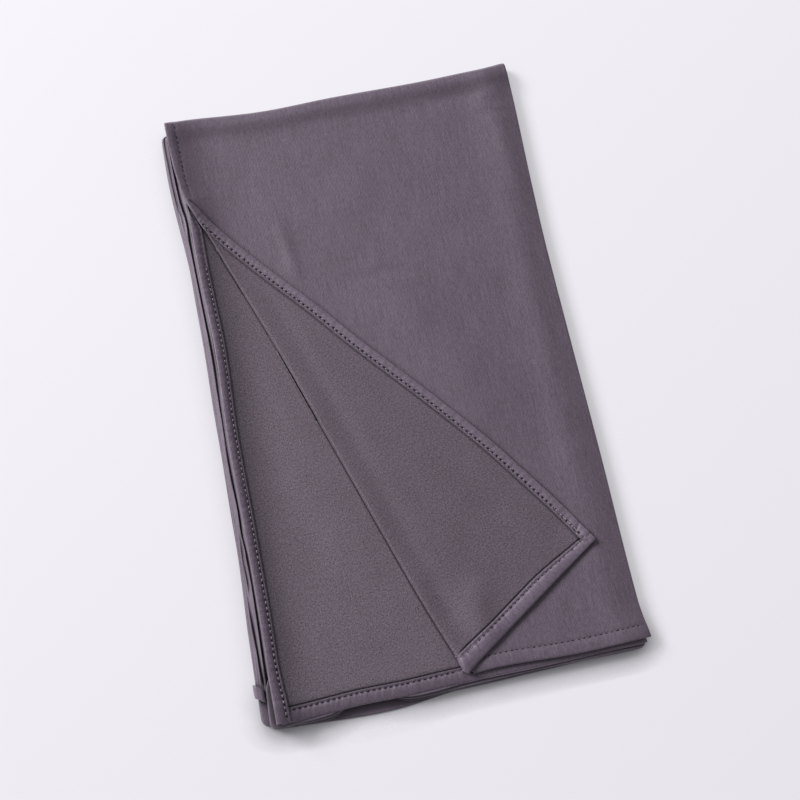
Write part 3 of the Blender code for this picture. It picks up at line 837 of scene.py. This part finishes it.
def make_second_side_hem(hem):
    v = spaced(-2.2, 960, 387.0)
    over_end = second_overlap(v)
    room = np.maximum(crease_at(v) - under_side(v) - 1.4, 0.8)
    squeeze = np.clip(room / SIDE_HEM, 0.1, 1.0)
    lines = []
    for inset, depth in hem_section(SIDE_HEM, 16):
        u = under_side(v) + inset * squeeze * flare(v)
        height = under_height(u, v) + CLOTH + over_end
        height = height + hem_relief(inset, SIDE_HEM, v, 0.12, 0.3)
        lines.append((u, v, height - depth))
    grid = np.array(lines).transpose(2, 0, 1)
    return sheet_piece("second_side_hem", grid, grid[..., :2].copy(), hem,
                       ["under_side_hem"])


def make_second_end_hem(hem):
    u = spaced(3.0, 640, 262.0)
    shown = 1.0 - smoothstep(-6.0, 4.0, u - crease_at(under_end(u)))
    lines = []
    for inset, depth in hem_section(SECOND_END_HEM, 16):
        v = under_end(u) + inset
        proud = CLOTH * (0.05 + 0.85 * shown)
        relief = hem_relief(inset, SECOND_END_HEM, u, 0.14, 1.2) * (0.15 + 0.85 * shown)
        slope = END_HEM_SLOPE * (1.0 - inset / SECOND_END_HEM) * shown
        lines.append((u, v, under_height(u, v) + proud + relief - slope - depth))
    grid = np.array(lines).transpose(0, 2, 1)
    return sheet_piece("second_end_hem", grid, grid[..., :2].copy(), hem,
                       ["under_end_hem"])


# ---- hidden layers
LEAVES = [
    Leaf(0.0, 1.5, 2, LOW_SIDE, LOW_END, LOW_RIGHT, 0.3),
    Leaf(1.5, 3.0, 2, LOW_SIDE, NEXT_END, MIDDLE_RIGHT, 1.9),
    Leaf(3.0, 4.5, 2, None, MIDDLE_END, MIDDLE_RIGHT, 3.1),
    Leaf(4.5, 6.0, 2, None, MIDDLE_END, MIDDLE_RIGHT, 4.4),
    Leaf(6.0, 6.75, 1, THIRD_SIDE, THIRD_END, THIRD_RIGHT, 5.2),
    Leaf(6.75, 7.5, 1, FOURTH_SIDE, THIRD_END, THIRD_RIGHT, 6.4),
]
PLY_SECTION = [(0.06, 1.5), (0.16, 0.5), (0.32, 0.1), (0.5, 0.0), (0.7, 0.12), (0.86, 0.5),
               (0.94, 1.5)]


def rounded_outline(spacing, radius=5.0):
    """Shares across and along of points round a rectangle with rounded corners."""
    right, top = PACK_WIDTH - radius, PACK_LENGTH - radius
    corners = [(right, radius, -90), (right, top, 0), (radius, top, 90), (radius, radius, 180)]
    stops = []
    for u, v, start in corners:
        turns = [math.radians(start + 15 * k) for k in range(7)]
        stops += [(u + radius * math.cos(turn), v + radius * math.sin(turn)) for turn in turns]
    points = []
    for (u, v), (next_u, next_v) in zip(stops, stops[1:] + stops[:1]):
        steps = max(round(math.hypot(next_u - u, next_v - v) / spacing), 1)
        points += [(u + (next_u - u) * k / steps, v + (next_v - v) * k / steps)
                   for k in range(steps)]
    return np.array(points) / np.array([PACK_WIDTH, PACK_LENGTH])


def leaf_section(plies):
    """Section of a leaf's edge: (height share, inset), closed by two flat faces far inside."""
    section = [(0.45, 32.0), (0.12, 30.0), (0.06, 9.0)]
    for ply in range(plies):
        section += [((ply + share) / plies, inset + 0.25 * ply) for share, inset in PLY_SECTION]
    return section + [(0.94, 9.0), (0.88, 30.0), (0.55, 32.0)]


def leaf_rings(leaf, outline):
    """Rings of one leaf, from its lower face round its edge to its upper one."""
    left_edge = curve(leaf.left) if leaf.left else (lambda v: BUNDLE_RIGHT + SEAM + 0 * v)
    end_edge, right_edge = curve(leaf.end), curve(leaf.right)
    inside = FOLD_RADIUS - CLOTH - SEAM
    rings = []
    for share, inset in leaf_section(leaf.plies):
        z = leaf.low + share * (leaf.high - leaf.low)
        rise = min(abs(z - FOLD_AXIS_Z), inside)
        tuck = math.sqrt(inside ** 2 - rise ** 2)
        if z < FOLD_AXIS_Z:
            tuck = min(tuck, 1.0 + 0.5 * z)
        v = outline[:, 1] * PACK_LENGTH
        ripple = 0.35 * np.sin(v / 23.0 + leaf.phase) + 0.2 * np.sin(v / 9.0 + 2 * leaf.phase)
        left = left_edge(v) + inset + 0.5 * ripple
        right = side_fold(v) + right_edge(v) - inset + ripple
        u = left + outline[:, 0] * (right - left)
        low = end_edge(u) + inset + 0.3 * np.sin(u / 17.0 + leaf.phase)
        high = end_fold(u) - FOLD_RADIUS + tuck - max(inset - 9.0, 0.0)
        v = low + outline[:, 1] * (high - low)
        sway = 0.25 * np.sin(u / 29.0 + leaf.phase) * np.sin(v / 37.0 + leaf.phase)
        height = np.maximum(z + sway * (z > 0.5) + lifted(u, v, z), 0.05)
        rings.append(set_back(np.column_stack([u, v, height]), height - z))
    return rings


def make_lower_layers(edge):
    """The hidden layers: leaves of one or two plies, whole only at their edges."""
    outline = rounded_outline(3.0)
    points, faces = [], []
    for leaf in LEAVES:
        rings = leaf_rings(leaf, outline)
        first = len(points)
        count = len(outline)
        points += [tuple(p) for ring in rings for p in ring]
        faces += (quads_of(len(rings), count, closed=True) + first).tolist()
        faces.append([first + k for k in reversed(range(count))])
        last = first + (len(rings) - 1) * count
        faces.append([last + k for k in range(count)])
    return place_piece("lower_layers", make_mesh("lower_layers", points, faces), edge,
                       ["folded_stack"])


FOLD_RISE = 4.8            # the side folds climb from their outer edge to the second layer
ROUND_TOP = 1.6
RIM_GAP = 0.3
SIDE_FOLD_PLIES = 2
PLEAT = 1.5
PLEAT_DEPTH = 0.4
GROOVE_WIDTH = 0.5
PINCH = 2.6                # the folds draw in at their two ends
PINCH_REACH = 1.6


def folds_top(u, v, outer):
    """Height above the outer edge's: rolls side by side with narrow grooves between them."""
    rim = under_side(v) - RIM_GAP
    climb = smoothstep(22.0, 40.0, v) * FOLD_RISE
    top = climb * np.clip((u - outer - ROUND_TOP) / (rim - outer - ROUND_TOP), 0.0, 1.0)
    top = top - 0.8 * climb * smoothstep(0.4, 3.0, u - rim)
    outer_depth = 2.4 * smoothstep(22.0, 30.0, v) * smoothstep(94.0, 60.0, v)
    middle_depth = 1.5 * smoothstep(84.0, 98.0, v) * smoothstep(142.0, 118.0, v)
    middle_depth = middle_depth + 1.3 * smoothstep(345.0, 395.0, v)
    inner_depth = 3.0 - 1.2 * bell(v - 215.0, 22.0) - 0.9 * bell(v - 95.0, 12.0)
    pleat = u - outer + 0.5 * np.sin(v / 41.0) + 0.3 * np.sin(v / 17.0 + 1.0)
    pleats = PLEAT_DEPTH * np.abs(np.sin(math.pi * pleat / PLEAT)) ** 0.5
    top = top - pleats * smoothstep(0.6, 1.6, u - outer)
    for table, depth in ((OUTER_GROOVE, outer_depth), (MIDDLE_GROOVE, middle_depth),
                         (INNER_GROOVE, inner_depth)):
        top = top - depth * bell(u - curve(table)(v), GROOVE_WIDTH)
    return top


def make_side_folds(fold):
    """The folds of the middle layers that stand out on the left: soft rolls, side by side."""
    v = spaced(BUNDLE_START, 230, BUNDLE_END)
    ends = np.minimum(v - BUNDLE_START, BUNDLE_END - v)
    pinched = PINCH * np.exp(-ends / PINCH_REACH)
    outer = bundle_side(v) + pinched
    lift = {z: z + lifted(under_side(v), v, z) for z in (BUNDLE_LOW, BUNDLE_HIGH)}
    low, high = lift[BUNDLE_LOW], lift[BUNDLE_HIGH] - 0.35 * pinched
    lines = [(np.full(len(v), BUNDLE_RIGHT), v, low)]
    for ply in range(SIDE_FOLD_PLIES):
        wave = 0.2 * np.sin(v / 13.0 + ply) + 0.15 * np.sin(v / 31.0 + 2 * ply)
        for share, inset in PLY_SECTION:
            height = low + (ply + share) / SIDE_FOLD_PLIES * (high - 0.4 - low)
            lines.append((outer + inset + 0.5 * ply + wave, v, height))
    inner = under_side(v) + 3.4
    for share in spaced(0.0, 44, 1.0):
        u = outer + ROUND_TOP + share * (inner - outer - ROUND_TOP)
        lines.append((u, v, high + folds_top(u, v, outer)))
    lines.append((np.full(len(v), BUNDLE_RIGHT), v, lines[-1][2]))
    grid = set_back(np.array(lines).transpose(2, 0, 1), (low - BUNDLE_LOW)[:, None])
    rows, columns = grid.shape[:2]
    quads = quads_of(rows, columns, closed=True)[:, ::-1].tolist()
    quads.append([k for k in range(columns)])
    quads.append([(rows - 1) * columns + k for k in reversed(range(columns))])
    mesh = make_mesh("side_folds", grid.reshape(-1, 3), quads)
    return place_piece("side_folds", mesh, fold, ["side_bundle"])


def make_side_folds_hem(hem):
    """The end hem of those folds, which stands a little proud."""
    proud = SEAM + CLOTH
    middle_u = float(bundle_side(BUNDLE_START)) + 1.2
    middle_z = 0.5 * (BUNDLE_LOW + BUNDLE_HIGH)
    width, height = 1.2 + proud, 0.5 * (BUNDLE_HIGH - BUNDLE_LOW) + proud
    section = [(THIRD_SIDE[0].edge - 2.0, middle_z + height),
               (middle_u + 2.0, middle_z + height)]
    for degrees in range(90, 226, 9):
        angle = math.radians(degrees)
        section.append((middle_u + width * math.cos(angle), middle_z + height * math.sin(angle)))
    lines = []
    for k in range(15):
        share = k / 14
        lip = 0.5 * (abs(2 * share - 1)) ** 8
        start = BUNDLE_START + 0.8 + 0.8 * END_HEM * (1 - share)
        lines.append([(u + lip, start - 0.7 * (u - middle_u),
                       z - 0.5 * lip + lifted(under_side(start), start, z)) for u, z in section])
    grid = np.array(lines)
    steps = np.linalg.norm(np.diff(grid, axis=1), axis=2)
    around = np.concatenate([np.zeros((len(grid), 1)), np.cumsum(steps, axis=1)], axis=1)
    knit = np.stack([around, grid[..., 1]], axis=-1)
    return sheet_piece("side_folds_hem", grid, knit, hem, ["bundle_hem"])


# ---- stitches
Stitch = namedtuple("Stitch", "length radius offset slant")
LONG_DASH = Stitch(2.0, 0.36, 0.0, 0.12)
SHORT_DOT = Stitch(1.7, 0.76, 0.0, 0.0)
SMALL_DOT = SHORT_DOT._replace(radius=0.55)
RAISED_DASH = Stitch(2.0, 0.46, 0.5, 0.1)
STITCH_FLATNESS = 0.45
STRAYING = 0.1             # a stitch strays this far from its row
TOP_STITCH_SUNK = 0.25
STITCH_SUNK = 0.22
CORNER_THREAD_SUNK = 0.26
SECOND_DOT_SUNK = 0.34
SECOND_THREAD_SUNK = 0.1
TACK_PITCH = 2.2


def thread_loop(centre, tangent, length, radius, points, faces):
    """One stitch: a short rounded thread, flattened on the cloth."""
    sides, rings = 8, 5
    side = Vector((-tangent.y, tangent.x, 0.0)).normalized()
    up = side.cross(tangent)
    if up.z < 0:
        up = -up
    first = len(points)
    for k in range(rings):
        place = 2 * k / (rings - 1) - 1
        thick = radius * math.sqrt(max(1 - abs(place) ** 3, 0.06))
        for j in range(sides):
            angle = 2 * math.pi * j / sides
            points.append(centre + tangent * (place * 0.5 * length)
                          + side * (thick * math.cos(angle))
                          + up * (STITCH_FLATNESS * thick * math.sin(angle)))
    for k in range(rings - 1):
        for j in range(sides):
            low = first + k * sides + j
            low_next = first + k * sides + (j + 1) % sides
            faces.append((low, low_next, low_next + sides, low + sides))
    faces.append(tuple(first + j for j in reversed(range(sides))))
    faces.append(tuple(first + (rings - 1) * sides + j for j in range(sides)))


def make_stitches(name, rows, material, pitch=STITCH_PITCH):
    """Rows of stitches as one mesh; each row is a kind of stitch and its points on the cloth."""
    chance = random.Random(7)
    points, faces = [], []
    for kind, line in rows:
        line = set_back(line.copy(), shared(line[:, 0], line[:, 1]))
        steps = np.concatenate([[0.0], np.cumsum(np.linalg.norm(np.diff(line, axis=0), axis=1))])
        for k in range(int(steps[-1] / pitch)):
            at = (k + 0.5 + kind.offset) * pitch + chance.uniform(-0.15, 0.15)
            ends = [np.array([np.interp(at + half, steps, line[:, axis]) for axis in range(3)])
                    for half in (-0.5 * kind.length, 0.0, 0.5 * kind.length)]
            tangent = Vector(ends[2] - ends[0]).normalized()
            tangent.rotate(Euler((0.0, 0.0, kind.slant + chance.uniform(-0.12, 0.12))))
            centre = Vector(ends[1])
            centre.x += chance.uniform(-STRAYING, STRAYING)
            centre.y += chance.uniform(-STRAYING, STRAYING)
            thread_loop(centre, tangent, kind.length * chance.uniform(0.85, 1.1),
                        kind.radius * chance.uniform(0.9, 1.1), points, faces)
    mesh = bpy.data.meshes.new(name)
    mesh.from_pydata([(Vector(p) - Vector(CENTRE)) * MM for p in points], [], faces)
    return place_piece(name, mesh, material, [])


def top_stitch_rows():
    """On the topmost layer: down its left side to the turned corner, and along its end."""
    v = np.linspace(450.0, 392.0, 60)
    side = on_cloth(panel_height, panel_side(v) + top_side_seam(v), v, -TOP_STITCH_SUNK)
    u = np.linspace(146.0, 264.0, 90)
    end = on_cloth(panel_height, u, panel_end(u) + TOP_END_SEAM, -TOP_STITCH_SUNK)
    return [(LONG_DASH, side), (LONG_DASH, end)]


def corner_side_line():
    share = np.linspace(0.055, 0.985, 400)
    u, v = turned_edge(share)
    side_u, side_v = normals_of(turned_edge, share)
    inset = SIDE_HEM - STITCH_INSET
    u, v = u - inset * side_u, v - inset * side_v
    return on_cloth(turned_height, u, v, CLOTH, corner_overlap((1 - share) * TURNED_LENGTH))


def corner_end_line():
    shares = np.linspace(0.0, 0.93, 120)
    rows = [flap_grid(np.array([1.0 - (END_HEM * factor - STITCH_INSET) / TURNED_LENGTH]), shares,
                      CLOTH)[0][ROLL_LINES:] for factor in (1.0, CORNER_NARROWS)]
    factor = np.minimum(band_share(shares), 1.0)[:, None]
    return rows[0] + (rows[1] - rows[0]) * (1.0 - factor) / (1.0 - CORNER_NARROWS)


def lowered(line, depth):
    return line - np.array([0.0, 0.0, depth])


def tack_rows():
    """The back-tack that ends the side seam: a narrow loop sewn over itself."""
    line = corner_side_line()[-34:-8]
    heading = np.gradient(line[:, :2], axis=0)
    heading = heading / np.linalg.norm(heading, axis=1)[:, None]
    across = np.column_stack([-heading[:, 1], heading[:, 0], np.zeros(len(line))])
    rows = [(RAISED_DASH, line + 0.1 * across), (RAISED_DASH, line + 3.0 * across)]
    for k in (0, -1):
        bar = np.array([line[k] + across[k] * step for step in (-0.6, 1.0, 2.0, 3.6)])
        rows.append((RAISED_DASH._replace(offset=0.0), bar))
    return rows


def second_side_line():
    v = np.linspace(0.0, 334.0, 300)
    u = under_side(v) + (SIDE_HEM - STITCH_INSET) * flare(v)
    return on_cloth(under_height, u, v, CLOTH, second_overlap(v))


def second_end_line():
    u = np.linspace(11.0, 130.0, 100)
    return on_cloth(under_height, u, under_end(u) + SECOND_END_HEM - STITCH_INSET, 0.9 * CLOTH)


# ---- stage
def make_floor():
    mesh = bpy.data.meshes.new("table_top")
    reach = 3.0
    mesh.from_pydata([(-reach, -reach, -0.0002), (reach, -reach, -0.0002),
                      (reach, reach, -0.0002), (-reach, reach, -0.0002)], [], [(0, 1, 2, 3)])
    mesh.materials.append(floor_finish())
    floor = bpy.data.objects.new("table_top", mesh)
    bpy.context.scene.collection.objects.link(floor)


WINDOW_PLACE = Vector((-3.3, 2.7, 2.6))
WINDOW_SIDE = 1.8
WINDOW_POWER = 330.0
ROOM_LIGHT = 0.30


def make_lights():
    """A window from the upper left, and a little light from all round."""
    lamp = bpy.data.lights.new("window", "AREA")
    lamp.shape = "RECTANGLE"
    lamp.size = lamp.size_y = WINDOW_SIDE
    lamp.energy = WINDOW_POWER
    lamp.color = (1.0, 0.985, 1.0)
    light = bpy.data.objects.new("window", lamp)
    light.location = WINDOW_PLACE
    light.rotation_mode = "QUATERNION"
    light.rotation_quaternion = (-WINDOW_PLACE).to_track_quat("-Z", "Y")
    bpy.context.scene.collection.objects.link(light)
    world = bpy.data.worlds.new("room")
    world.use_nodes = True
    background = world.node_tree.nodes["Background"]
    background.inputs["Color"].default_value = (0.97, 0.96, 1.0, 1.0)
    background.inputs["Strength"].default_value = ROOM_LIGHT
    bpy.context.scene.world = world
    bpy.context.scene.view_settings.view_transform = "Standard"


CAMERA_PLACE = Vector((-0.112285, -0.25755, 0.94344))
CAMERA_LENS = 60.05
CAMERA_AXES = Matrix(((0.9755503, 0.18594606, -0.1171566),
                      (-0.20972654, 0.94699611, -0.2433375),
                      (0.0656992, 0.26195882, 0.96284017)))


def make_camera():
    data = bpy.data.cameras.new("camera")
    data.sensor_width = 36.0
    data.lens = CAMERA_LENS
    data.clip_start = 0.01
    camera = bpy.data.objects.new("camera", data)
    camera.matrix_world = Matrix.Translation(CAMERA_PLACE) @ CAMERA_AXES.to_4x4()
    bpy.context.scene.collection.objects.link(camera)
    bpy.context.scene.camera = camera


# ---- the whole hijab
FACE_LOOK = Look(0.8, 0.9, 1.2, 0.35, 1.05, 0.35, 1.3, 3.5)
BACK_LOOK = Look(0.15, 0.3, 3.0, 0.15, 1.2, 0.25, 1.0, 2.5)
HEM_LOOK = Look(0.6, 0.8, 1.3, 0.35, 1.05, 0.30, 1.3, 3.0)
# The folds and hidden layers get deeper painted shade in their grooves, the hidden layers' hollows
# over a longer reach.
FOLD_LOOK = Look(0.15, 0.2, 0.6, 0.2, 1.1, 0.30, 2.2, 3.5)
EDGE_LOOK = FOLD_LOOK._replace(gloom=2.4, reach=9.0)

face = jersey("jersey_face", (0.124, 0.0892, 0.1285), FACE_LOOK)
# Painted light and shade: the wrong side in two tones, the turned corner's copy darker and the
# second layer's lighter, as the light falls on each.
flap_back = jersey("jersey_back", (0.114, 0.0838, 0.1140), BACK_LOOK)
back = jersey("jersey_wrong_side_painted_light", (0.127, 0.0950, 0.1270), BACK_LOOK)
hem = jersey("jersey_hem", (0.150, 0.1088, 0.157), HEM_LOOK)
# Painted shade: the second layer's end hem takes the hem's colour made darker, as where it slopes
# down away from the light.
end_hem = jersey("jersey_end_hem_painted_shade", (0.128, 0.0935, 0.135), HEM_LOOK)
# Painted light: the side folds and the hidden layers' edges take the cloth's colour about a fifth
# lighter, as where their rounded edges catch the light.
fold = jersey("jersey_fold_painted_light", (0.152, 0.1130, 0.158), FOLD_LOOK, by_object=True)
edge = jersey("jersey_edge_painted_light_and_shade", (0.150, 0.1120, 0.156), EDGE_LOOK, by_object=True)
# Painted shade: near-black thread stands for the shade in the needle holes where the stitches pull
# the cloth in.
thread_painted_shade = thread("thread_painted_shade", (0.020, 0.015, 0.021), 0.15)
# Painted highlight: thread about twice as light as the cloth stands for its sheen where it catches
# the light.
thread_painted_highlight = thread("thread_painted_highlight", (0.27, 0.225, 0.275), 0.4)

top_layer = make_top_layer(face)
corner_flap = make_corner_flap(flap_back)
corner_side_hem = make_corner_side_hem(hem)
corner_end_hem = make_corner_end_hem(hem)
second_layer = make_second_layer(back)
second_side_hem = make_second_side_hem(hem)
second_end_hem = make_second_end_hem(end_hem)
lower_layers = make_lower_layers(edge)
side_folds = make_side_folds(fold)
side_folds_hem = make_side_folds_hem(hem)
top_stitches = make_stitches("top_stitches", top_stitch_rows(), thread_painted_shade)
corner_stitches = make_stitches(
    "corner_stitches", [(SHORT_DOT, lowered(corner_side_line(), STITCH_SUNK)),
                        (LONG_DASH, lowered(corner_end_line(), STITCH_SUNK))], thread_painted_shade)
corner_threads = make_stitches(
    "corner_threads", [(RAISED_DASH, lowered(corner_side_line(), CORNER_THREAD_SUNK))],
    thread_painted_highlight)
corner_tack = make_stitches("corner_tack", tack_rows(), thread_painted_highlight, TACK_PITCH)
second_stitches = make_stitches(
    "second_stitches", [(SMALL_DOT, lowered(second_side_line(), SECOND_DOT_SUNK)),
                        (LONG_DASH, lowered(second_end_line(), STITCH_SUNK))], thread_painted_shade)
second_threads = make_stitches(
    "second_threads", [(RAISED_DASH, lowered(second_side_line(), SECOND_THREAD_SUNK))],
    thread_painted_highlight)


make_floor()
make_lights()
make_camera()
